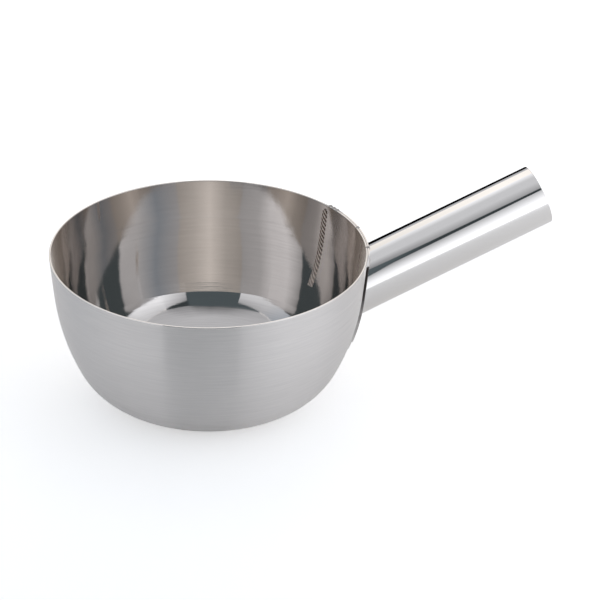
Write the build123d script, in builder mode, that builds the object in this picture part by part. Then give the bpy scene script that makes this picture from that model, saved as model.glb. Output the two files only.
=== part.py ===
# Water dipper in stainless steel: a drawn bowl with a short open pipe for a handle.
# The origin is at the centre of the bowl's foot, +Z is up and the handle runs towards +X.
# Lengths are in millimetres and angles in degrees.
import os
from math import asin, atan2, cos, degrees, radians, sin, sqrt

from build123d import *

# Bowl, drawn from one sheet: a straight band under the rim, a long belly arc, a corner arc and a flat foot
rim_inner_diameter = 160.0
bowl_wall = 1.0
bowl_height = 78.4
rim_lean = 5.7  # inwards from upright
rim_band = 21.0
belly_radius = 116.0
corner_radius = 32.7
rim_edge_round = 0.3

# Handle, a straight pipe that rises away from the wall, open at its end as a socket for a pole
pipe_diameter = 31.8
pipe_wall = 1.0
pipe_rise = 20.0
pipe_drop = 30.7  # of the pipe's axis below the rim, where it crosses the rim's cylinder
pipe_length = 105.6  # along the axis, from there to the open end
pipe_edge_round = 0.3

# Backing plate, a straight-sided piece bent to the wall between bowl and pipe
plate_thickness = 0.8
plate_side_margin = 13.6  # beside the weld round the pipe's root, measured straight across
plate_low_margin = 4.0  # below that weld, measured down the wall
plate_top_corner = 5.0
plate_low_corner = 11.0

# Weld round the pipe's root, and the weld along each side edge of the plate
root_weld_leg = 2.2
side_weld_radius = 1.3

# Ripples of the side welds where they come through the wall, inside the bowl
ripple_width = 4.2
ripple_length = 9.0
ripple_pitch = 1.25
ripple_rise = 0.4  # of each ripple's upper edge over the wall
ripple_slope = 7.0
ripple_first = 2.5  # down the wall from the rim to the first ripple's upper edge

# Tack welds on the rim, over the seam between bowl and plate
tack_radius = 1.3
tack_rise = 0.5
tack_turn_shares = (-0.628, 0.065, 0.749, 0.836, 0.923)  # of the plate's half angle, from the handle

# The bowl's outline, from the rim's outer edge down
rim_radius = rim_inner_diameter / 2 + bowl_wall / cos(radians(rim_lean))
band_x = rim_radius - rim_band * sin(radians(rim_lean))
band_y = bowl_height - rim_band * cos(radians(rim_lean))
belly_x = band_x - belly_radius * cos(radians(rim_lean))
belly_y = band_y + belly_radius * sin(radians(rim_lean))
corner_lean = degrees(asin((belly_y - corner_radius) / (belly_radius - corner_radius)))
foot_radius = belly_x + (belly_radius - corner_radius) * cos(radians(corner_lean))

# The outer face of the wall in section: X is the radius and Y the height
with BuildLine() as wall_line:
    Line((rim_radius, bowl_height), (band_x, band_y))
    CenterArc((belly_x, belly_y), belly_radius, -rim_lean, rim_lean - corner_lean)
    CenterArc((foot_radius, corner_radius), corner_radius, -corner_lean, corner_lean - 90)
wall = wall_line.wire()

# The pipe's axis and, in the same section, its underside down to the bowl's wall
pipe_radius = pipe_diameter / 2
pipe_height = bowl_height - pipe_drop
pipe_way = Vector(cos(radians(pipe_rise)), 0, sin(radians(pipe_rise)))
pipe_end = Vector(rim_radius, 0, pipe_height) + pipe_way * pipe_length
pipe_end_plane = Plane(origin=pipe_end, x_dir=(0, 1, 0), z_dir=-pipe_way)
pipe_run = pipe_length + pipe_diameter  # long enough to pass through the wall
with BuildLine() as underside:
    PolarLine(
        (pipe_end.X + pipe_radius * pipe_way.Z, pipe_end.Z - pipe_radius * pipe_way.X),
        pipe_run,
        180 + pipe_rise,
    )
root_foot = wall.intersect(underside.edge()).vertex()

# The plate's size, across the handle and down the wall, and half the turn that it takes up at the rim
plate_half_width = pipe_radius + root_weld_leg + plate_side_margin
plate_depth = wall.param_at_point(root_foot) * wall.length + root_weld_leg + plate_low_margin
plate_half_angle = degrees(asin(plate_half_width / rim_radius))


def wall_section(angle):
    """The upright plane through the bowl's axis, turned about it by an angle from the handle."""
    turn = radians(angle)
    return Plane(
        origin=(0, 0, 0), x_dir=(cos(turn), sin(turn), 0), z_dir=(sin(turn), -cos(turn), 0)
    )


def wall_lean(depth):
    """The wall's lean from upright, in radians, at a depth measured down it from the rim."""
    downwards = wall.tangent_at(depth, PositionMode.LENGTH)
    return atan2(-downwards.X, -downwards.Y)


def wall_point(depth, outset):
    """Radius and height of the wall at a depth measured down it from the rim, moved outwards by outset."""
    spot = wall.position_at(depth, PositionMode.LENGTH)
    lean = wall_lean(depth)
    return spot.X + outset * cos(lean), spot.Y - outset * sin(lean)


def wall_plane(depth, angle, outset, slope):
    """A plane on the wall: X runs round the bowl, Y up the wall, then sloped inwards, and Z outwards."""
    turn = radians(angle)
    radius, height = wall_point(depth, outset)
    tip = wall_lean(depth) - radians(slope)
    return Plane(
        origin=(radius * cos(turn), radius * sin(turn), height),
        x_dir=(-sin(turn), cos(turn), 0),
        z_dir=(cos(turn) * cos(tip), sin(turn) * cos(tip), -sin(tip)),
    )


def left_edge_point(depth):
    """The point of the bowl's outer face at the plate's left edge, at a depth measured down the wall."""
    radius, height = wall_point(depth, 0)
    return sqrt(radius**2 - plate_half_width**2), -plate_half_width, height


def turned_bowl(outset):
    """The whole bowl as a solid block, moved outwards by outset, with its seam away from the handle."""
    with BuildPart() as block:
        with BuildSketch(wall_section(180)):
            with BuildLine():
                foot = Line((0, -outset), (foot_radius, -outset))
                CenterArc((foot_radius, corner_radius), corner_radius + outset, -90, 90 - corner_lean)
                belly = CenterArc(
                    (belly_x, belly_y), belly_radius + outset, -corner_lean, corner_lean - rim_lean
                )
                rim = (rim_radius + outset / cos(radians(rim_lean)), bowl_height)
                Polyline(belly @ 1, rim, (0, bowl_height), foot @ 0)
            make_face()
        revolve(axis=Axis.Z)
    return block.part


os.makedirs("parts", exist_ok=True)

# Blocks that the pieces are cut to: the bowl's outside, the room inside it and the plate's face
bowl_block = turned_bowl(0)
room_block = turned_bowl(-bowl_wall)
plate_face_block = turned_bowl(plate_thickness)

# The bowl
with BuildPart() as bowl:
    add(bowl_block)
    offset(amount=-bowl_wall, openings=bowl.faces().sort_by(Axis.Z)[-1])
    fillet(bowl.edges().group_by(Axis.Z)[-1], radius=rim_edge_round)
bowl.part.label = "bowl"
export_step(bowl.part, "parts/bowl.step")

# The backing plate: a rectangle with rounded corners, seen from the handle, laid on the wall
with BuildPart() as handle_plate:
    with BuildSketch(Plane.YZ) as plate_outline:
        with Locations((0, bowl_height)):
            Rectangle(
                2 * plate_half_width,
                bowl_height - wall_point(plate_depth, 0)[1],
                align=(Align.CENTER, Align.MAX),
            )
        fillet(plate_outline.vertices().group_by(Axis.Y)[-1], radius=plate_top_corner)
        fillet(plate_outline.vertices().group_by(Axis.Y)[0], radius=plate_low_corner)
    extrude(amount=rim_radius + 2 * plate_thickness)
    add(plate_face_block, mode=Mode.INTERSECT)
    add(bowl_block, mode=Mode.SUBTRACT)
handle_plate.part.label = "handle_plate"
export_step(handle_plate.part, "parts/handle_plate.step")

# The pipe, cut at its root to the plate's face
with BuildPart() as handle_tube:
    with BuildSketch(pipe_end_plane):
        Circle(pipe_radius)
        Circle(pipe_radius - pipe_wall, mode=Mode.SUBTRACT)
    extrude(amount=pipe_run)
    add(plate_face_block, mode=Mode.SUBTRACT)
    fillet(handle_tube.faces().sort_by(Axis.X)[-1].edges(), radius=pipe_edge_round)
handle_tube.part.label = "handle_tube"
export_step(handle_tube.part, "parts/handle_tube.step")

# The weld round the pipe's root: the hollow corner between pipe and plate, filled
with BuildPart() as handle_root_weld:
    add(plate_face_block)
    with BuildSketch(pipe_end_plane):
        Circle(pipe_radius)
    pipe_rod = extrude(amount=pipe_run)
    fillet(handle_root_weld.edges().filter_by(GeomType.BSPLINE), radius=root_weld_leg)
    add(pipe_rod, mode=Mode.SUBTRACT)
    add(plate_face_block, mode=Mode.SUBTRACT)
handle_root_weld.part.label = "handle_root_weld"
export_step(handle_root_weld.part, "parts/handle_root_weld.step")

# The welds along the plate's side edges: a rod of filler down each edge, less what it lies against
edge_low = plate_depth - plate_low_corner
edge_middle = (plate_top_corner + edge_low) / 2
with BuildPart() as plate_weld_left:
    with BuildLine() as edge_path:
        upper_path = ThreePointArc(
            left_edge_point(plate_top_corner),
            left_edge_point((plate_top_corner + edge_middle) / 2),
            left_edge_point(edge_middle),
        )
        TangentArc(upper_path @ 1, left_edge_point(edge_low), tangent=upper_path % 1)
    with BuildSketch(Plane(origin=upper_path @ 0, z_dir=upper_path % 0)):
        Circle(side_weld_radius)
    sweep(path=edge_path.line)
    add(bowl_block, mode=Mode.SUBTRACT)
    add(handle_plate.part, mode=Mode.SUBTRACT)
plate_weld_left.part.label = "plate_weld_left"
export_step(plate_weld_left.part, "parts/plate_weld_left.step")

with BuildPart() as plate_weld_right:
    mirror(plate_weld_left.part, about=Plane.XZ)
plate_weld_right.part.label = "plate_weld_right"
export_step(plate_weld_right.part, "parts/plate_weld_right.step")

# The ripples inside the bowl: overlapping oval scales, each with its upper edge over the one above it
def ripple_scale(upper_edge):
    """One scale of the left seam, with its upper edge at that depth down the wall, less what the wall hides."""
    with BuildPart() as scale:
        turn = -degrees(asin(plate_half_width / wall_point(upper_edge, 0)[0]))
        with BuildSketch(wall_plane(upper_edge, turn, -bowl_wall - ripple_rise, ripple_slope)):
            with Locations((0, -ripple_length / 2)):
                Ellipse(ripple_width / 2, ripple_length / 2)
        extrude(amount=2 * ripple_rise)
        add(room_block, mode=Mode.INTERSECT)
    return scale.part


ripple_row = plate_depth - plate_low_corner - ripple_first
with BuildPart() as ripple_seam_left:
    for number in range(int(ripple_row / ripple_pitch)):
        add(ripple_scale(ripple_first + number * ripple_pitch))
ripple_seam_left.part.label = "ripple_seam_left"
export_step(ripple_seam_left.part, "parts/ripple_seam_left.step")

with BuildPart() as ripple_seam_right:
    mirror(ripple_seam_left.part, about=Plane.XZ)
ripple_seam_right.part.label = "ripple_seam_right"
export_step(ripple_seam_right.part, "parts/ripple_seam_right.step")

# The tack welds on the rim: beads over the seam, less what they are sunk into
with BuildPart() as rim_tack_welds:
    for share in tack_turn_shares:
        with Locations(wall_section(share * plate_half_angle)):
            with Locations((rim_radius, bowl_height + tack_rise - tack_radius)):
                Sphere(tack_radius)
    add(plate_face_block, mode=Mode.SUBTRACT)
rim_tack_welds.part.label = "rim_tack_welds"
export_step(rim_tack_welds.part, "parts/rim_tack_welds.step")
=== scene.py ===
# The looks of a stainless steel water dipper: its steel finishes, weld tints and a small white studio.
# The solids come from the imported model, in metres, with the handle towards +X.
from math import cos, pi, radians, sin

import bmesh
import bpy
from bpy.props import FloatProperty, FloatVectorProperty, PointerProperty
from mathutils import Matrix, Vector


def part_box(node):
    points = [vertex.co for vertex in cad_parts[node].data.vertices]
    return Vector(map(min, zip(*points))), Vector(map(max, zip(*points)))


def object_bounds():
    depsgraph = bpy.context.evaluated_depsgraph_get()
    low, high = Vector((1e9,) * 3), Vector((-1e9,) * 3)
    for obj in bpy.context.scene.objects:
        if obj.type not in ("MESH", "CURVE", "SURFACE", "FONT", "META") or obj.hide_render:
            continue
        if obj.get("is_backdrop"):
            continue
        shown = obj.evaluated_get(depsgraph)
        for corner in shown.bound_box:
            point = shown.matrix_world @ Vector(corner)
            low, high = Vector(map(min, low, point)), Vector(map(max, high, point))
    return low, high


bl_info = {
    "name": "Stainless Water Dipper",
    "version": (1, 0, 0),
    "blender": (4, 5, 0),
    "location": "3D View > Sidebar > Dipper",
    "description": "Finishes a packed water dipper as drawn, polished and welded stainless steel",
    "category": "Object",
}

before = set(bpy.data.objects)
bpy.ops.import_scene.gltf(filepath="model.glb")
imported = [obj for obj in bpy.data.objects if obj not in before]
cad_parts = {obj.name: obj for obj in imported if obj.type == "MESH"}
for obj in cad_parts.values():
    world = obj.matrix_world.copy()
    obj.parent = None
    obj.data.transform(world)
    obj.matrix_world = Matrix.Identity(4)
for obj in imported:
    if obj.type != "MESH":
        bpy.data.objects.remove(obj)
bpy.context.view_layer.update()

MM = 0.001  # metres

# Finish of the ground sheet: a satin outside, and a half polished inside and rim
BOWL_MIDDLE = (0, 0, 60 * MM)  # a point on the bowl's axis that every face of its inside looks at
RIM_EDGE = 0.35 * MM  # height of the rim's polished edge
SATIN_METAL = 0.7  # how metallic the satin side is, where polished steel is 1
SATIN_ROUGHNESS = 0.34
POLISHED_ROUGHNESS = 0.045
HAND_SPREAD = 0.15  # share by which hand grinding is finer or coarser from patch to patch
SATIN_LINE_DEPTH = 0.008 * MM
POLISHED_LINE_DEPTH = 0.012 * MM
LINE_SHADE = 0.09  # share by which a grinding line is darker or lighter
LAST_REFLECTION = 3.5  # just short of the fourth, the last one that the renderer follows
LOST_LIGHT = 0.6  # strength of the steel's painted glow, which stands for what further reflections would have brought

# Finish of the pipe. A pair of roughnesses is for the lowest and the highest places of a pattern.
PIPE_RISE = radians(20)  # slope of the pipe, as in the solids
MARK_ROUGHNESS = (0.03, 0.07)
MARK_SHADE = 0.02  # share by which a polishing mark is darker or lighter
MARK_DEPTH = 0.0008 * MM

# Finish of the welds. A pair of heights is where the heat tint starts and where it is full; beside the
# plate, where the painted shade does.
ROOT_WELD_ROUGHNESS = (0.2, 0.35)
ROOT_WELD_DEPTH = 0.05 * MM
RIPPLE_ROUGHNESS = 0.5
RIPPLE_DEPTH = 0.04 * MM
RIPPLE_EDGES = (0.4, 0.7)  # shares of half a ripple at which its line of tint starts and is full
RIPPLE_HEAT = (30 * MM, 60 * MM)
RIPPLE_LEAST_TINT = 0.35  # share of the tint below those heights
SIDE_WELD_ROUGHNESS = (0.25, 0.4)
SIDE_WELD_SHADE = (25 * MM, 60 * MM)
SIDE_WELD_WAVER = 8 * MM  # by which patches shift those heights up or down
TACK_ROUGHNESS = (0.4, 0.2)


def linear(hex_colour):
    """The linear colour of an sRGB hex value."""
    levels = [int(hex_colour[place : place + 2], 16) / 255 for place in (1, 3, 5)]
    return tuple(v / 12.92 if v <= 0.04045 else ((v + 0.055) / 1.055) ** 2.4 for v in levels)


class SteelSettings(bpy.types.PropertyGroup):
    """Colours and finish sizes of the steel pieces."""

    satin_colour: FloatVectorProperty(
        name="Satin colour",
        description="Reflected colour of the bowl's outside, its rim and the backing plate",
        subtype="COLOR",
        default=linear("#e4e0dd"),
    )
    sheet_colour: FloatVectorProperty(
        name="Inside colour",
        description="Reflected colour of the bowl's inside, which deepens with each reflection",
        subtype="COLOR",
        default=linear("#d0ccc9"),
    )
    tube_colour: FloatVectorProperty(
        name="Tube colour",
        description="Reflected colour of the polished pipe and its ground weld",
        subtype="COLOR",
        default=linear("#e6e3e0"),
    )
    # The weld metal's own colour, lightened further as a painted highlight of the ripples' tops, which
    # catch light from above
    bead_and_highlight_colour: FloatVectorProperty(
        name="Bead colour",
        description="Colour of weld metal between its tinted lines",
        subtype="COLOR",
        default=linear("#fbf1e9"),
    )
    tint_colour: FloatVectorProperty(
        name="Heat tint",
        description="Colour of the oxide that heat leaves on weld metal",
        subtype="COLOR",
        default=linear("#5c4437"),
    )
    # Painted shade of the crease between bowl and plate, darkest by the rim
    crease_shade_colour: FloatVectorProperty(
        name="Scale colour",
        description="Colour of the darkest oxide on weld metal",
        subtype="COLOR",
        default=linear("#34302e"),
    )
    speck_colour: FloatVectorProperty(
        name="Speck colour",
        description="Colour of the oxide specks on the tacks",
        subtype="COLOR",
        default=linear("#6f6a67"),
    )
    ripple_pitch: FloatProperty(
        name="Ripple pitch",
        description="From one weld ripple to the next, coarser than the real 1.3 mm so that they show",
        subtype="DISTANCE",
        default=1.7 * MM,
    )
    ripple_slant: FloatProperty(
        name="Ripple slant",
        description="Slant of the ripples across their seam, which drop towards the handle",
        subtype="ANGLE",
        default=radians(45),
    )
    satin_line: FloatProperty(
        name="Satin line",
        description="Width of the grinding lines, coarser than real ones so that they show",
        subtype="DISTANCE",
        default=0.9 * MM,
    )
    satin_run: FloatProperty(
        name="Satin run",
        description="Length of one grinding line, which is about a fifth shorter at the rim",
        subtype="DISTANCE",
        default=30 * MM,
    )
    patch_size: FloatProperty(
        name="Patch size",
        description="Size of the patches over which the hand grinding is a little finer or coarser",
        subtype="DISTANCE",
        default=25 * MM,
    )
    mark_run: FloatProperty(
        name="Polishing mark run",
        description="Length of one polishing mark",
        subtype="DISTANCE",
        default=50 * MM,
    )
    mark_width: FloatProperty(
        name="Polishing mark width",
        description="Width of one polishing mark, coarser than real ones so that they show",
        subtype="DISTANCE",
        default=1.667 * MM,
    )
    weld_wave: FloatProperty(
        name="Weld wave",
        description="Size of the waves that handwork leaves in the weld round the pipe's root",
        subtype="DISTANCE",
        default=3 * MM,
    )
    # Patches that shift the painted crease shade up or down and vary the welds' roughness
    shade_and_roughness_patch: FloatProperty(
        name="Scale patch",
        description="Size of the uneven patches of oxide on the welds beside the plate",
        subtype="DISTANCE",
        default=4 * MM,
    )
    speck_size: FloatProperty(
        name="Speck size",
        description="Size of the oxide specks on the tacks",
        subtype="DISTANCE",
        default=1 * MM,
    )


class StudioSettings(bpy.types.PropertyGroup):
    """Camera, table and light tent."""

    view_azimuth: FloatProperty(
        name="View azimuth",
        description="Turn of the camera about the dipper, 0 looks along +Y",
        subtype="ANGLE",
        default=radians(-18.86),
    )
    view_elevation: FloatProperty(
        name="View elevation",
        description="How far the camera looks down",
        subtype="ANGLE",
        default=radians(28.57),
    )
    view_roll: FloatProperty(
        name="View roll", description="Tilt of the camera", subtype="ANGLE", default=radians(0.735)
    )
    view_distance: FloatProperty(
        name="View distance",
        description="From the camera to the point that it looks at",
        subtype="DISTANCE",
        default=1700 * MM,
    )
    view_aim: FloatVectorProperty(
        name="View aim",
        description="The point that the camera looks at",
        subtype="TRANSLATION",
        default=(62.4 * MM, 38.2 * MM, 20 * MM),
    )
    lens: FloatProperty(
        name="Lens",
        description="Focal length on a 36 mm frame",
        subtype="DISTANCE_CAMERA",
        default=191.8,
    )
    floor_radius: FloatProperty(
        name="Floor radius",
        description="Radius of the white table under the dipper",
        subtype="DISTANCE",
        default=600 * MM,
    )
    tent_radius: FloatProperty(
        name="Tent radius",
        description="Radius of the light tent round the table",
        subtype="DISTANCE",
        default=600 * MM,
    )
    floor_colour: FloatVectorProperty(
        name="Floor colour",
        description="Colour of the white table",
        subtype="COLOR",
        default=linear("#f4f4f4"),
    )


def add_node(tree, kind, inputs=None, **settings):
    """Adds a node with its settings, and sets or links its inputs by name or number."""
    node = tree.nodes.new(kind)
    for name, value in settings.items():
        setattr(node, name, value)
    for name, value in (inputs or {}).items():
        if isinstance(value, bpy.types.NodeSocket):
            tree.links.new(value, node.inputs[name])
        else:
            node.inputs[name].default_value = value
    return node


def colour4(colour):
    """A colour as a node's colour socket takes it."""
    return (*colour[:3], 1.0)


def start_material(name):
    """A node material with nothing in it yet."""
    material = bpy.data.materials.new(name)
    material.use_nodes = True
    material.node_tree.nodes.clear()
    return material, material.node_tree


def end_material(tree, inputs):
    """Closes a material with one metal surface."""
    surface = add_node(tree, "ShaderNodeBsdfPrincipled", {"Metallic": 1.0, **inputs})
    add_node(tree, "ShaderNodeOutputMaterial", {"Surface": surface.outputs["BSDF"]})


def turned_lines(tree, place, line, run):
    """Noise drawn out into lines round the bowl.

    Radius plus height stands for the way up its section, and the dipper's height for the bowl's radius.
    """
    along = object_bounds()[1].z / run
    flat = add_node(
        tree, "ShaderNodeVectorMath", {0: place, 1: (1, 1, 0)}, operation="MULTIPLY"
    ).outputs[0]
    outwards = add_node(tree, "ShaderNodeVectorMath", {0: flat}, operation="NORMALIZE").outputs[0]
    radius = add_node(tree, "ShaderNodeVectorMath", {0: flat}, operation="LENGTH").outputs["Value"]
    height = add_node(tree, "ShaderNodeSeparateXYZ", {0: place}).outputs["Z"]
    ring = add_node(
        tree, "ShaderNodeVectorMath", {0: outwards, "Scale": along}, operation="SCALE"
    ).outputs[0]
    way_up = add_node(tree, "ShaderNodeMath", {0: radius, 1: height}, operation="ADD").outputs[0]
    count = add_node(tree, "ShaderNodeMath", {0: way_up, 1: line}, operation="DIVIDE").outputs[0]
    lift = add_node(tree, "ShaderNodeCombineXYZ", {"Z": count}).outputs[0]
    spot = add_node(tree, "ShaderNodeVectorMath", {0: ring, 1: lift}, operation="ADD").outputs[0]
    return add_node(
        tree, "ShaderNodeTexNoise", {"Vector": spot, "Scale": 1.0, "Detail": 3.0, "Roughness": 0.6}
    ).outputs["Fac"]


def inside_share(tree):
    """1 where a face of the bowl looks at its middle, as its inside does, and 0 outside."""
    coordinates = add_node(tree, "ShaderNodeTexCoord").outputs
    from_middle = add_node(
        tree,
        "ShaderNodeVectorMath",
        {0: coordinates["Object"], 1: BOWL_MIDDLE},
        operation="SUBTRACT",
    ).outputs[0]
    facing = add_node(
        tree,
        "ShaderNodeVectorMath",
        {0: from_middle, 1: coordinates["Normal"]},
        operation="DOT_PRODUCT",
    ).outputs["Value"]
    return add_node(tree, "ShaderNodeMath", {0: facing, 1: 0.0}, operation="LESS_THAN").outputs[0]


def between(tree, share, low, high):
    """A value that goes from low to high as share goes from 0 to 1."""
    return add_node(
        tree, "ShaderNodeMapRange", {"Value": share, "To Min": low, "To Max": high}
    ).outputs["Result"]


def lost_light(tree):
    """Strength of a painted glow in the steel, which stands for the light of reflections past the last
    one that the renderer follows.
    """
    depth = add_node(tree, "ShaderNodeLightPath").outputs["Glossy Depth"]
    last = add_node(
        tree, "ShaderNodeMath", {0: depth, 1: LAST_REFLECTION}, operation="GREATER_THAN"
    ).outputs[0]
    return between(tree, last, 0.0, LOST_LIGHT)


def shaded(tree, lines, colour, depth):
    """A colour, darker in the valleys of its lines and lighter on their ridges by up to depth."""
    share = between(tree, lines, 1.0 - depth, 1.0 + depth)
    grey = add_node(
        tree, "ShaderNodeCombineColor", {"Red": share, "Green": share, "Blue": share}
    ).outputs[0]
    return add_node(
        tree,
        "ShaderNodeMix",
        {"Factor": 1.0, 6: colour, 7: grey},
        data_type="RGBA",
        blend_type="MULTIPLY",
    ).outputs[2]


def ground_sheet_steel(steel):
    """Stainless sheet, drawn and ground on a lathe: satin outside, half polished inside.

    Its fine lines run round the bowl, so that a reflection is drawn out up and down the wall. The satin
    side also scatters a share of the light every way, for which it is less than fully metallic.
    """
    material, tree = start_material("ground_sheet_steel")
    place = add_node(tree, "ShaderNodeTexCoord").outputs["Object"]
    lines = turned_lines(tree, place, steel.satin_line, steel.satin_run)
    patches = add_node(
        tree, "ShaderNodeTexNoise", {"Vector": place, "Scale": 1 / steel.patch_size, "Detail": 2.0}
    ).outputs["Fac"]
    inside = inside_share(tree)
    height = add_node(tree, "ShaderNodeSeparateXYZ", {0: place}).outputs["Z"]
    rim = add_node(
        tree,
        "ShaderNodeMath",
        {0: height, 1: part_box("bowl")[1].z - RIM_EDGE},
        operation="GREATER_THAN",
    ).outputs[0]
    polished = add_node(tree, "ShaderNodeMath", {0: inside, 1: rim}, operation="MAXIMUM").outputs[0]
    finish_roughness = between(tree, polished, SATIN_ROUGHNESS, POLISHED_ROUGHNESS)
    colour = add_node(
        tree,
        "ShaderNodeMix",
        {"Factor": inside, 6: colour4(steel.satin_colour), 7: colour4(steel.sheet_colour)},
        data_type="RGBA",
    ).outputs[2]
    uneven = between(tree, patches, 1.0 - HAND_SPREAD, 1.0 + HAND_SPREAD)
    roughness = add_node(
        tree, "ShaderNodeMath", {0: finish_roughness, 1: uneven}, operation="MULTIPLY"
    ).outputs[0]
    line_depth = between(tree, inside, SATIN_LINE_DEPTH, POLISHED_LINE_DEPTH)
    bump = add_node(
        tree, "ShaderNodeBump", {"Height": lines, "Strength": 1.0, "Distance": line_depth}
    ).outputs["Normal"]
    way_round = add_node(
        tree, "ShaderNodeTangent", direction_type="RADIAL", axis="Z"
    ).outputs["Tangent"]
    end_material(
        tree,
        {
            "Metallic": between(tree, polished, SATIN_METAL, 1.0),
            "Base Color": shaded(tree, lines, colour, LINE_SHADE),
            "Roughness": roughness,
            "Anisotropic": 1.0,
            "Anisotropic Rotation": 0.25,  # a quarter turn
            "Tangent": way_round,
            "Normal": bump,
            # Painted light: the steel glows in its inside colour where a further reflection would end
            # dark
            "Emission Color": colour4(steel.sheet_colour),
            "Emission Strength": lost_light(tree),
        },
    )
    return material


def mirror_tube_steel(steel):
    """Stainless tube, polished to a mirror: sharp reflections with faint marks.

    The mapping scales before it turns, so the marks run level and not along the pipe's slope.
    """
    material, tree = start_material("mirror_tube_steel")
    place = add_node(tree, "ShaderNodeTexCoord").outputs["Object"]
    along = add_node(
        tree,
        "ShaderNodeMapping",
        {
            "Vector": place,
            "Rotation": (0, PIPE_RISE, 0),
            "Scale": (1 / steel.mark_run, 1 / steel.mark_width, 1 / steel.mark_width),
        },
    ).outputs[0]
    marks = add_node(
        tree, "ShaderNodeTexNoise", {"Vector": along, "Scale": 1.0, "Detail": 2.0}
    ).outputs["Fac"]
    bump = add_node(
        tree, "ShaderNodeBump", {"Height": marks, "Strength": 1.0, "Distance": MARK_DEPTH}
    ).outputs["Normal"]
    end_material(
        tree,
        {
            "Base Color": shaded(tree, marks, colour4(steel.tube_colour), MARK_SHADE),
            "Roughness": between(tree, marks, *MARK_ROUGHNESS),
            "Normal": bump,
        },
    )
    return material


def ground_weld_steel(steel):
    """Weld metal round the pipe's root, ground and buffed: bright, and slightly wavy from handwork."""
    material, tree = start_material("ground_weld_steel")
    place = add_node(tree, "ShaderNodeTexCoord").outputs["Object"]
    waves = add_node(
        tree, "ShaderNodeTexNoise", {"Vector": place, "Scale": 1 / steel.weld_wave, "Detail": 2.0}
    ).outputs["Fac"]
    bump = add_node(
        tree, "ShaderNodeBump", {"Height": waves, "Strength": 1.0, "Distance": ROOT_WELD_DEPTH}
    ).outputs["Normal"]
    end_material(
        tree,
        {
            "Base Color": colour4(steel.tube_colour),
            "Roughness": between(tree, waves, *ROOT_WELD_ROUGHNESS),
            "Normal": bump,
        },
    )
    return material


def rippled_weld(steel):
    """Weld metal inside the bowl, as it cooled: slanting ripples with brown heat tint between them.

    The ripples' own steps are too fine to show, so each is drawn as one line of tint, paler low down.
    """
    material, tree = start_material("rippled_weld")
    place = add_node(tree, "ShaderNodeTexCoord").outputs["Object"]
    parts = add_node(tree, "ShaderNodeSeparateXYZ", {0: place}).outputs
    low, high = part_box("ripple_seam_right")
    across = add_node(
        tree, "ShaderNodeMath", {0: parts["Y"], 1: (low.y + high.y) / 2}, operation="SUBTRACT"
    ).outputs[0]
    lift = add_node(
        tree, "ShaderNodeMath", {0: across, 1: sin(steel.ripple_slant)}, operation="MULTIPLY"
    ).outputs[0]
    height = add_node(
        tree, "ShaderNodeMath", {0: parts["Z"], 1: cos(steel.ripple_slant)}, operation="MULTIPLY"
    ).outputs[0]
    level = add_node(tree, "ShaderNodeMath", {0: height, 1: lift}, operation="SUBTRACT").outputs[0]
    half_pitch = steel.ripple_pitch / 2
    saw = add_node(
        tree, "ShaderNodeMath", {0: level, 1: half_pitch}, operation="PINGPONG"
    ).outputs[0]
    line_start, line_full = (share * half_pitch for share in RIPPLE_EDGES)
    line = add_node(
        tree,
        "ShaderNodeMapRange",
        {"Value": saw, "From Min": line_start, "From Max": line_full},
        interpolation_type="SMOOTHSTEP",
    ).outputs["Result"]
    start, full = RIPPLE_HEAT
    heat = add_node(
        tree,
        "ShaderNodeMapRange",
        {"Value": parts["Z"], "From Min": start, "From Max": full, "To Min": RIPPLE_LEAST_TINT},
    ).outputs["Result"]
    tinted = add_node(tree, "ShaderNodeMath", {0: line, 1: heat}, operation="MULTIPLY").outputs[0]
    # Between the lines of tint the metal is its own colour and partly a painted highlight of the
    # ripples' tops
    colour = add_node(
        tree,
        "ShaderNodeMix",
        {"Factor": tinted, 6: colour4(steel.bead_and_highlight_colour), 7: colour4(steel.tint_colour)},
        data_type="RGBA",
    ).outputs[2]
    bump = add_node(
        tree, "ShaderNodeBump", {"Height": line, "Strength": 1.0, "Distance": -RIPPLE_DEPTH}
    ).outputs["Normal"]
    end_material(tree, {"Base Color": colour, "Roughness": RIPPLE_ROUGHNESS, "Normal": bump})
    return material


def shaded_side_weld(steel):
    """Weld metal beside the plate, brushed but not ground, in painted shade of its crease: near black by
    the rim, grey lower down.
    """
    material, tree = start_material("shaded_side_weld")
    place = add_node(tree, "ShaderNodeTexCoord").outputs["Object"]
    height = add_node(tree, "ShaderNodeSeparateXYZ", {0: place}).outputs["Z"]
    patches = add_node(
        tree, "ShaderNodeTexNoise", {"Vector": place, "Scale": 1 / steel.shade_and_roughness_patch, "Detail": 2.0}
    ).outputs["Fac"]
    uneven = between(tree, patches, -SIDE_WELD_WAVER, SIDE_WELD_WAVER)
    level = add_node(tree, "ShaderNodeMath", {0: height, 1: uneven}, operation="ADD").outputs[0]
    # Painted shade: the welds darken from grey towards near black above these heights, by the rim
    start, full = SIDE_WELD_SHADE
    heat = add_node(
        tree, "ShaderNodeMapRange", {"Value": level, "From Min": start, "From Max": full}
    ).outputs["Result"]
    colour = add_node(
        tree,
        "ShaderNodeMix",
        {"Factor": heat, 6: colour4(steel.satin_colour), 7: colour4(steel.crease_shade_colour)},
        data_type="RGBA",
    ).outputs[2]
    roughness = between(tree, patches, *SIDE_WELD_ROUGHNESS)
    end_material(tree, {"Base Color": colour, "Roughness": roughness})
    return material


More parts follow.
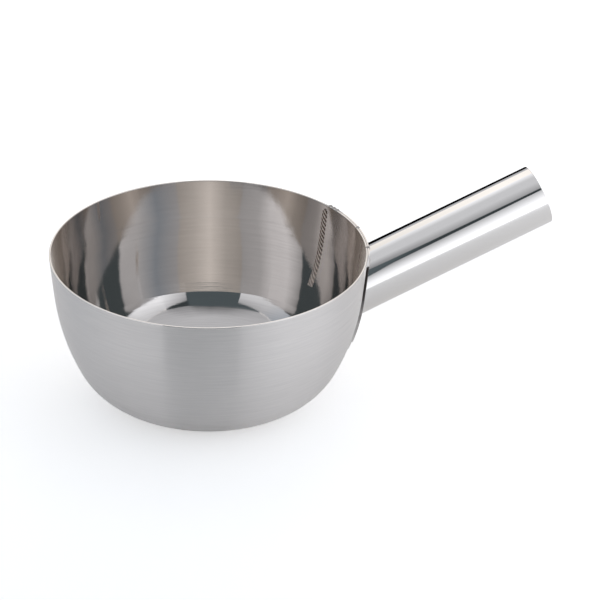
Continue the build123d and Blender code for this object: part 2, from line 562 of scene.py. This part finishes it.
def tack_weld_steel(steel):
    """Small weld beads left as they cooled: grey, with darker specks of oxide."""
    material, tree = start_material("tack_weld_steel")
    place = add_node(tree, "ShaderNodeTexCoord").outputs["Object"]
    specks = add_node(
        tree, "ShaderNodeTexNoise", {"Vector": place, "Scale": 1 / steel.speck_size, "Detail": 3.0}
    ).outputs["Fac"]
    colour = add_node(
        tree,
        "ShaderNodeMix",
        {"Factor": specks, 6: colour4(steel.speck_colour), 7: colour4(steel.sheet_colour)},
        data_type="RGBA",
    ).outputs[2]
    roughness = between(tree, specks, *TACK_ROUGHNESS)
    end_material(tree, {"Base Color": colour, "Roughness": roughness})
    return material


def finish(names, material):
    """Gives the named solids their material."""
    for name in names:
        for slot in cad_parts[name].material_slots:
            slot.material = material


class DIPPER_OT_finish_sheet(bpy.types.Operator):
    """Finish the bowl, its backing plate and the near seam as ground sheet steel"""

    bl_idname = "dipper.finish_sheet"
    bl_label = "Finish bowl and plate"

    def execute(self, context):
        # The near seam is ground over with the wall: the photo's far wall mirrors no tinted line there
        sheet = ground_sheet_steel(context.scene.dipper_steel)
        finish(("bowl", "handle_plate", "ripple_seam_left"), sheet)
        return {"FINISHED"}


class DIPPER_OT_finish_pipe(bpy.types.Operator):
    """Finish the pipe handle as mirror polished tube"""

    bl_idname = "dipper.finish_pipe"
    bl_label = "Finish pipe handle"

    def execute(self, context):
        finish(("handle_tube",), mirror_tube_steel(context.scene.dipper_steel))
        return {"FINISHED"}


class DIPPER_OT_finish_outer_welds(bpy.types.Operator):
    """Finish the weld round the pipe's root as ground metal, and those beside the plate as brushed"""

    bl_idname = "dipper.finish_outer_welds"
    bl_label = "Finish outer welds"

    def execute(self, context):
        steel = context.scene.dipper_steel
        finish(("handle_root_weld",), ground_weld_steel(steel))
        finish(("plate_weld_left", "plate_weld_right"), shaded_side_weld(steel))
        return {"FINISHED"}


class DIPPER_OT_finish_beads(bpy.types.Operator):
    """Finish the far seam's ripples and the tacks on the rim as weld metal left as it cooled"""

    bl_idname = "dipper.finish_beads"
    bl_label = "Finish weld beads"

    def execute(self, context):
        steel = context.scene.dipper_steel
        finish(("ripple_seam_right",), rippled_weld(steel))
        finish(("rim_tack_welds",), tack_weld_steel(steel))
        return {"FINISHED"}


# The light tent round the table, as seen from its middle. Azimuths run from the camera's side towards
# the camera's right, and elevations up from the table, both in degrees. A brightness of 1 is white.
WHITE, COOL, WARM, SLATE, BLACK = "#f6f9ff", "#e1efff", "#fffcf9", "#5b656a", "#08090a"
# Its wall cloths, post by post: azimuth, elevation of the upper edge, colour, brightness low down and at
# the upper edge. Two posts at one azimuth are the seam between two cloths.
WALL_POSTS = (
    (-180, 60, WARM, 1.2, 1.3),
    (-155, 60, WARM, 0.86, 0.95),
    (-130, 58, WARM, 0.6, 0.8),
    (-130, 58, WHITE, 0.6, 0.8),
    (-95, 54, COOL, 0.53, 0.62),
    (-60, 50.5, WHITE, 1.12, 0.65),
    (-30, 45, WHITE, 1.4, 0.55),
    (25, 43, WHITE, 1.1, 0.42),
    (52, 50, WHITE, 1.8, 0.9),
    (80, 53, WHITE, 1.55, 0.9),
    (100, 54, WHITE, 0.85, 0.8),
    (130, 58, WHITE, 0.62, 0.8),
    (130, 58, WARM, 0.5, 0.8),
    (155, 60, WARM, 0.7, 0.95),
    (180, 60, WARM, 1.2, 1.3),
)
OPENING = (-30, 25)  # the posts between which no wall hangs, for the camera
OPENING_SLANT = 4  # degrees by which the opening is narrower at each side of its foot
EVEN_UP_TO = 15  # elevation up to which the walls have their low brightness
# The front edge of its roof cloth: azimuth, elevation and brightness
ROOF_POSTS = (
    (-180, 60, 1.3),
    (-130, 58, 0.8),
    (-60, 51.5, 0.62),
    (-45, 53.5, 0.45),
    (-25, 57, 0.25),
    (0, 58.5, 0.2),
    (18, 57, 0.3),
    (27, 54, 0.4),
    (45, 53.5, 0.45),
    (60, 51.5, 0.66),
    (130, 58, 0.8),
    (180, 60, 1.3),
)
ROOF_MIDDLE = (78, 0.76)  # an elevation on the roof, and the brightness from there to its top
ROOF_TOP = 90
CLOTH_STEPS = 8  # faces along each side of a cloth
# The dark room past the opening: azimuth and brightness. It stands a little outside the tent.
ROOM_POSTS = ((-60, 1.0), (22, 1.0), (28, 0.45), (52, 0.45))
ROOM_TOP = 64  # elevation of its upper edge
ROOM_RADIUS_SHARE = 1.02  # of the tent's radius

# A black card with a grey strip on top, which draws the dark line along the pipe's upper edge
CARD_Y = 60 * MM
# X, bottom, upper edge of the black and top at its two ends
CARD_ENDS = ((84 * MM, 30 * MM, 80 * MM, 97 * MM), (200 * MM, 76 * MM, 115 * MM, 132 * MM))
CARD_GREY = 0.6  # brightness of the grey strip

# The table's own glow, as the camera sees it, and as mirrors and glass do
TABLE_GLOW = 0.45
MIRRORED_GLOW = 0.06
TABLE_SIDES = 96


def add_cloth(shape, glow, place, corners):
    """A patch between four corners from the low left round, each two numbers for place and a colour."""
    low_left, low_right, top_right, top_left = (Vector((*corner[:2], *corner[2])) for corner in corners)
    shares = [step / CLOTH_STEPS for step in range(CLOTH_STEPS + 1)]
    rows = []
    for up in shares:
        left, right = low_left.lerp(top_left, up), low_right.lerp(top_right, up)
        row = []
        for along in shares:
            spot = left.lerp(right, along)
            vertex = shape.verts.new(place(spot[0], spot[1]))
            vertex[glow] = (*spot[2:5], 1.0)
            row.append(vertex)
        rows.append(row)
    for low, high in zip(rows, rows[1:]):
        for number in range(CLOTH_STEPS):
            shape.faces.new((low[number], low[number + 1], high[number + 1], high[number]))


def lit(hex_colour, level):
    """A colour at a brightness."""
    return [level * value for value in linear(hex_colour)]


def hang_walls(shape, glow, place):
    """The tent's walls, with the camera's opening between them."""
    for post, following in zip(WALL_POSTS, WALL_POSTS[1:]):
        if post[0] in (following[0], OPENING[0]):
            continue
        feet, middles, tops = [], [], []
        for azimuth, upper_edge, colour, low_level, top_level in (post, following):
            slant = OPENING_SLANT * ((azimuth == OPENING[0]) - (azimuth == OPENING[1]))
            middle_slant = slant * (1 - EVEN_UP_TO / upper_edge)
            feet.append((azimuth + slant, 0, lit(colour, low_level)))
            middles.append((azimuth + middle_slant, EVEN_UP_TO, lit(colour, low_level)))
            tops.append((azimuth, upper_edge, lit(colour, top_level)))
        add_cloth(shape, glow, place, [*feet, *reversed(middles)])
        add_cloth(shape, glow, place, [*middles, *reversed(tops)])


def hang_roof(shape, glow, place):
    """The tent's roof, from its edge to the top."""
    middle, level = ROOF_MIDDLE
    bright = lit(WHITE, level)
    for post, following in zip(ROOF_POSTS, ROOF_POSTS[1:]):
        edge = [(*end[:2], lit(WHITE, end[2])) for end in (post, following)]
        ring = [(end[0], middle, bright) for end in (following, post)]
        top = [(end[0], ROOF_TOP, bright) for end in (post, following)]
        add_cloth(shape, glow, place, [*edge, *ring])
        add_cloth(shape, glow, place, [*reversed(ring), *reversed(top)])


def stage_glow(name, fill):
    """A glowing stage piece that only reflections see. The function fill adds its patches."""
    mesh = bpy.data.meshes.new(name)
    shape = bmesh.new()
    fill(shape, shape.verts.layers.float_color.new("glow"))
    shape.to_mesh(mesh)
    shape.free()
    material, tree = start_material(name)
    colour = add_node(tree, "ShaderNodeVertexColor", layer_name="glow").outputs["Color"]
    light = add_node(tree, "ShaderNodeEmission", {"Color": colour, "Strength": 1.0})
    add_node(tree, "ShaderNodeOutputMaterial", {"Surface": light.outputs[0]})
    mesh.materials.append(material)
    piece = bpy.data.objects.new(name, mesh)
    bpy.context.scene.collection.objects.link(piece)
    piece.visible_camera = False
    piece.visible_shadow = False
    piece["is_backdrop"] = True
    return piece


def build_tent(studio):
    """The light tent round the table, with a black card behind the pipe."""

    def on_tent(azimuth, elevation):
        turn = studio.view_azimuth - pi / 2 + radians(azimuth)
        lift = radians(elevation)
        return studio.tent_radius * Vector((cos(lift) * cos(turn), cos(lift) * sin(turn), sin(lift)))

    def behind_tent(azimuth, elevation):
        return ROOM_RADIUS_SHARE * on_tent(azimuth, elevation)

    def fill_tent(shape, glow):
        hang_walls(shape, glow, on_tent)
        hang_roof(shape, glow, on_tent)
        for (left, shade), (right, next_shade) in zip(ROOM_POSTS, ROOM_POSTS[1:]):
            near, far = lit(SLATE, shade), lit(SLATE, next_shade)
            feet = [(left, 0, near), (right, 0, far)]
            tops = [(right, ROOM_TOP, far), (left, ROOM_TOP, near)]
            add_cloth(shape, glow, behind_tent, [*feet, *tops])

    def on_card(x, height):
        return Vector((x, CARD_Y, height))

    def fill_card(shape, glow):
        for edge, colour in ((1, lit(BLACK, 1.0)), (2, lit(WHITE, CARD_GREY))):
            feet = [(end[0], end[edge], colour) for end in CARD_ENDS]
            tops = [(end[0], end[edge + 1], colour) for end in reversed(CARD_ENDS)]
            add_cloth(shape, glow, on_card, [*feet, *tops])

    stage_glow("light_tent", fill_tent)
    stage_glow("black_card", fill_card).visible_diffuse = False


def build_world():
    """A plain white background."""
    world = bpy.data.worlds.new("white_room")
    world.use_nodes = True
    tree = world.node_tree
    tree.nodes.clear()
    white = (1.0, 1.0, 1.0, 1.0)
    background = add_node(tree, "ShaderNodeBackground", {"Color": white, "Strength": 1.0})
    add_node(tree, "ShaderNodeOutputWorld", {"Surface": background.outputs[0]})
    bpy.context.scene.world = world


def build_floor(studio):
    """A round white table top, whose faint glow brings it to white where the dipper doesn't shade it."""
    mesh = bpy.data.meshes.new("floor")
    shape = bmesh.new()
    bmesh.ops.create_circle(shape, cap_ends=True, radius=studio.floor_radius, segments=TABLE_SIDES)
    shape.to_mesh(mesh)
    shape.free()
    floor = bpy.data.objects.new("floor", mesh)
    bpy.context.scene.collection.objects.link(floor)
    material, tree = start_material("white_table")
    path = add_node(tree, "ShaderNodeLightPath").outputs
    glow = between(tree, path["Is Camera Ray"], 0.0, TABLE_GLOW)
    for ray in ("Is Glossy Ray", "Is Transmission Ray"):
        extra = between(tree, path[ray], 0.0, MIRRORED_GLOW)
        glow = add_node(tree, "ShaderNodeMath", {0: glow, 1: extra}, operation="ADD").outputs[0]
    paint = add_node(tree, "ShaderNodeBsdfDiffuse", {"Color": colour4(studio.floor_colour)})
    light = add_node(tree, "ShaderNodeEmission", {"Strength": glow})
    both = add_node(tree, "ShaderNodeAddShader", {0: paint.outputs[0], 1: light.outputs[0]})
    add_node(tree, "ShaderNodeOutputMaterial", {"Surface": both.outputs[0]})
    mesh.materials.append(material)
    floor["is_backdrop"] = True


def build_camera(studio):
    """A long lens that looks down at the dipper from its near left."""
    data = bpy.data.cameras.new("camera")
    data.lens = studio.lens
    camera = bpy.data.objects.new("camera", data)
    bpy.context.scene.collection.objects.link(camera)
    turn = (
        Matrix.Rotation(studio.view_azimuth, 4, "Z")
        @ Matrix.Rotation(pi / 2 - studio.view_elevation, 4, "X")
        @ Matrix.Rotation(studio.view_roll, 4, "Z")
    )
    back = turn @ Vector((0, 0, studio.view_distance))
    camera.matrix_world = Matrix.Translation(Vector(studio.view_aim) + back) @ turn
    bpy.context.scene.camera = camera


class DIPPER_OT_build_studio(bpy.types.Operator):
    """Build the table, the studio round it and the camera"""

    bl_idname = "dipper.build_studio"
    bl_label = "Build studio"

    def execute(self, context):
        studio = context.scene.dipper_studio
        build_world()
        build_tent(studio)
        build_floor(studio)
        build_camera(studio)
        context.scene.view_settings.view_transform = "Standard"
        return {"FINISHED"}


OPERATORS = (
    DIPPER_OT_finish_sheet,
    DIPPER_OT_finish_pipe,
    DIPPER_OT_finish_outer_welds,
    DIPPER_OT_finish_beads,
    DIPPER_OT_build_studio,
)


class DIPPER_PT_panel(bpy.types.Panel):
    """The dipper's steps and settings"""

    bl_idname = "DIPPER_PT_panel"
    bl_label = "Water dipper"
    bl_space_type = "VIEW_3D"
    bl_region_type = "UI"
    bl_category = "Dipper"

    def draw(self, context):
        for settings in (context.scene.dipper_steel, context.scene.dipper_studio):
            for name in settings.__annotations__:
                self.layout.prop(settings, name)
        for operator in OPERATORS:
            self.layout.operator(operator.bl_idname)


CLASSES = (SteelSettings, StudioSettings, *OPERATORS, DIPPER_PT_panel)


def register():
    for each in CLASSES:
        bpy.utils.register_class(each)
    bpy.types.Scene.dipper_steel = PointerProperty(type=SteelSettings)
    bpy.types.Scene.dipper_studio = PointerProperty(type=StudioSettings)


def unregister():
    del bpy.types.Scene.dipper_studio
    del bpy.types.Scene.dipper_steel
    for each in reversed(CLASSES):
        bpy.utils.unregister_class(each)


def main():
    register()
    bpy.ops.dipper.finish_sheet()
    bpy.ops.dipper.finish_pipe()
    bpy.ops.dipper.finish_outer_welds()
    bpy.ops.dipper.finish_beads()
    bpy.ops.dipper.build_studio()


if __name__ == "__main__":
    main()
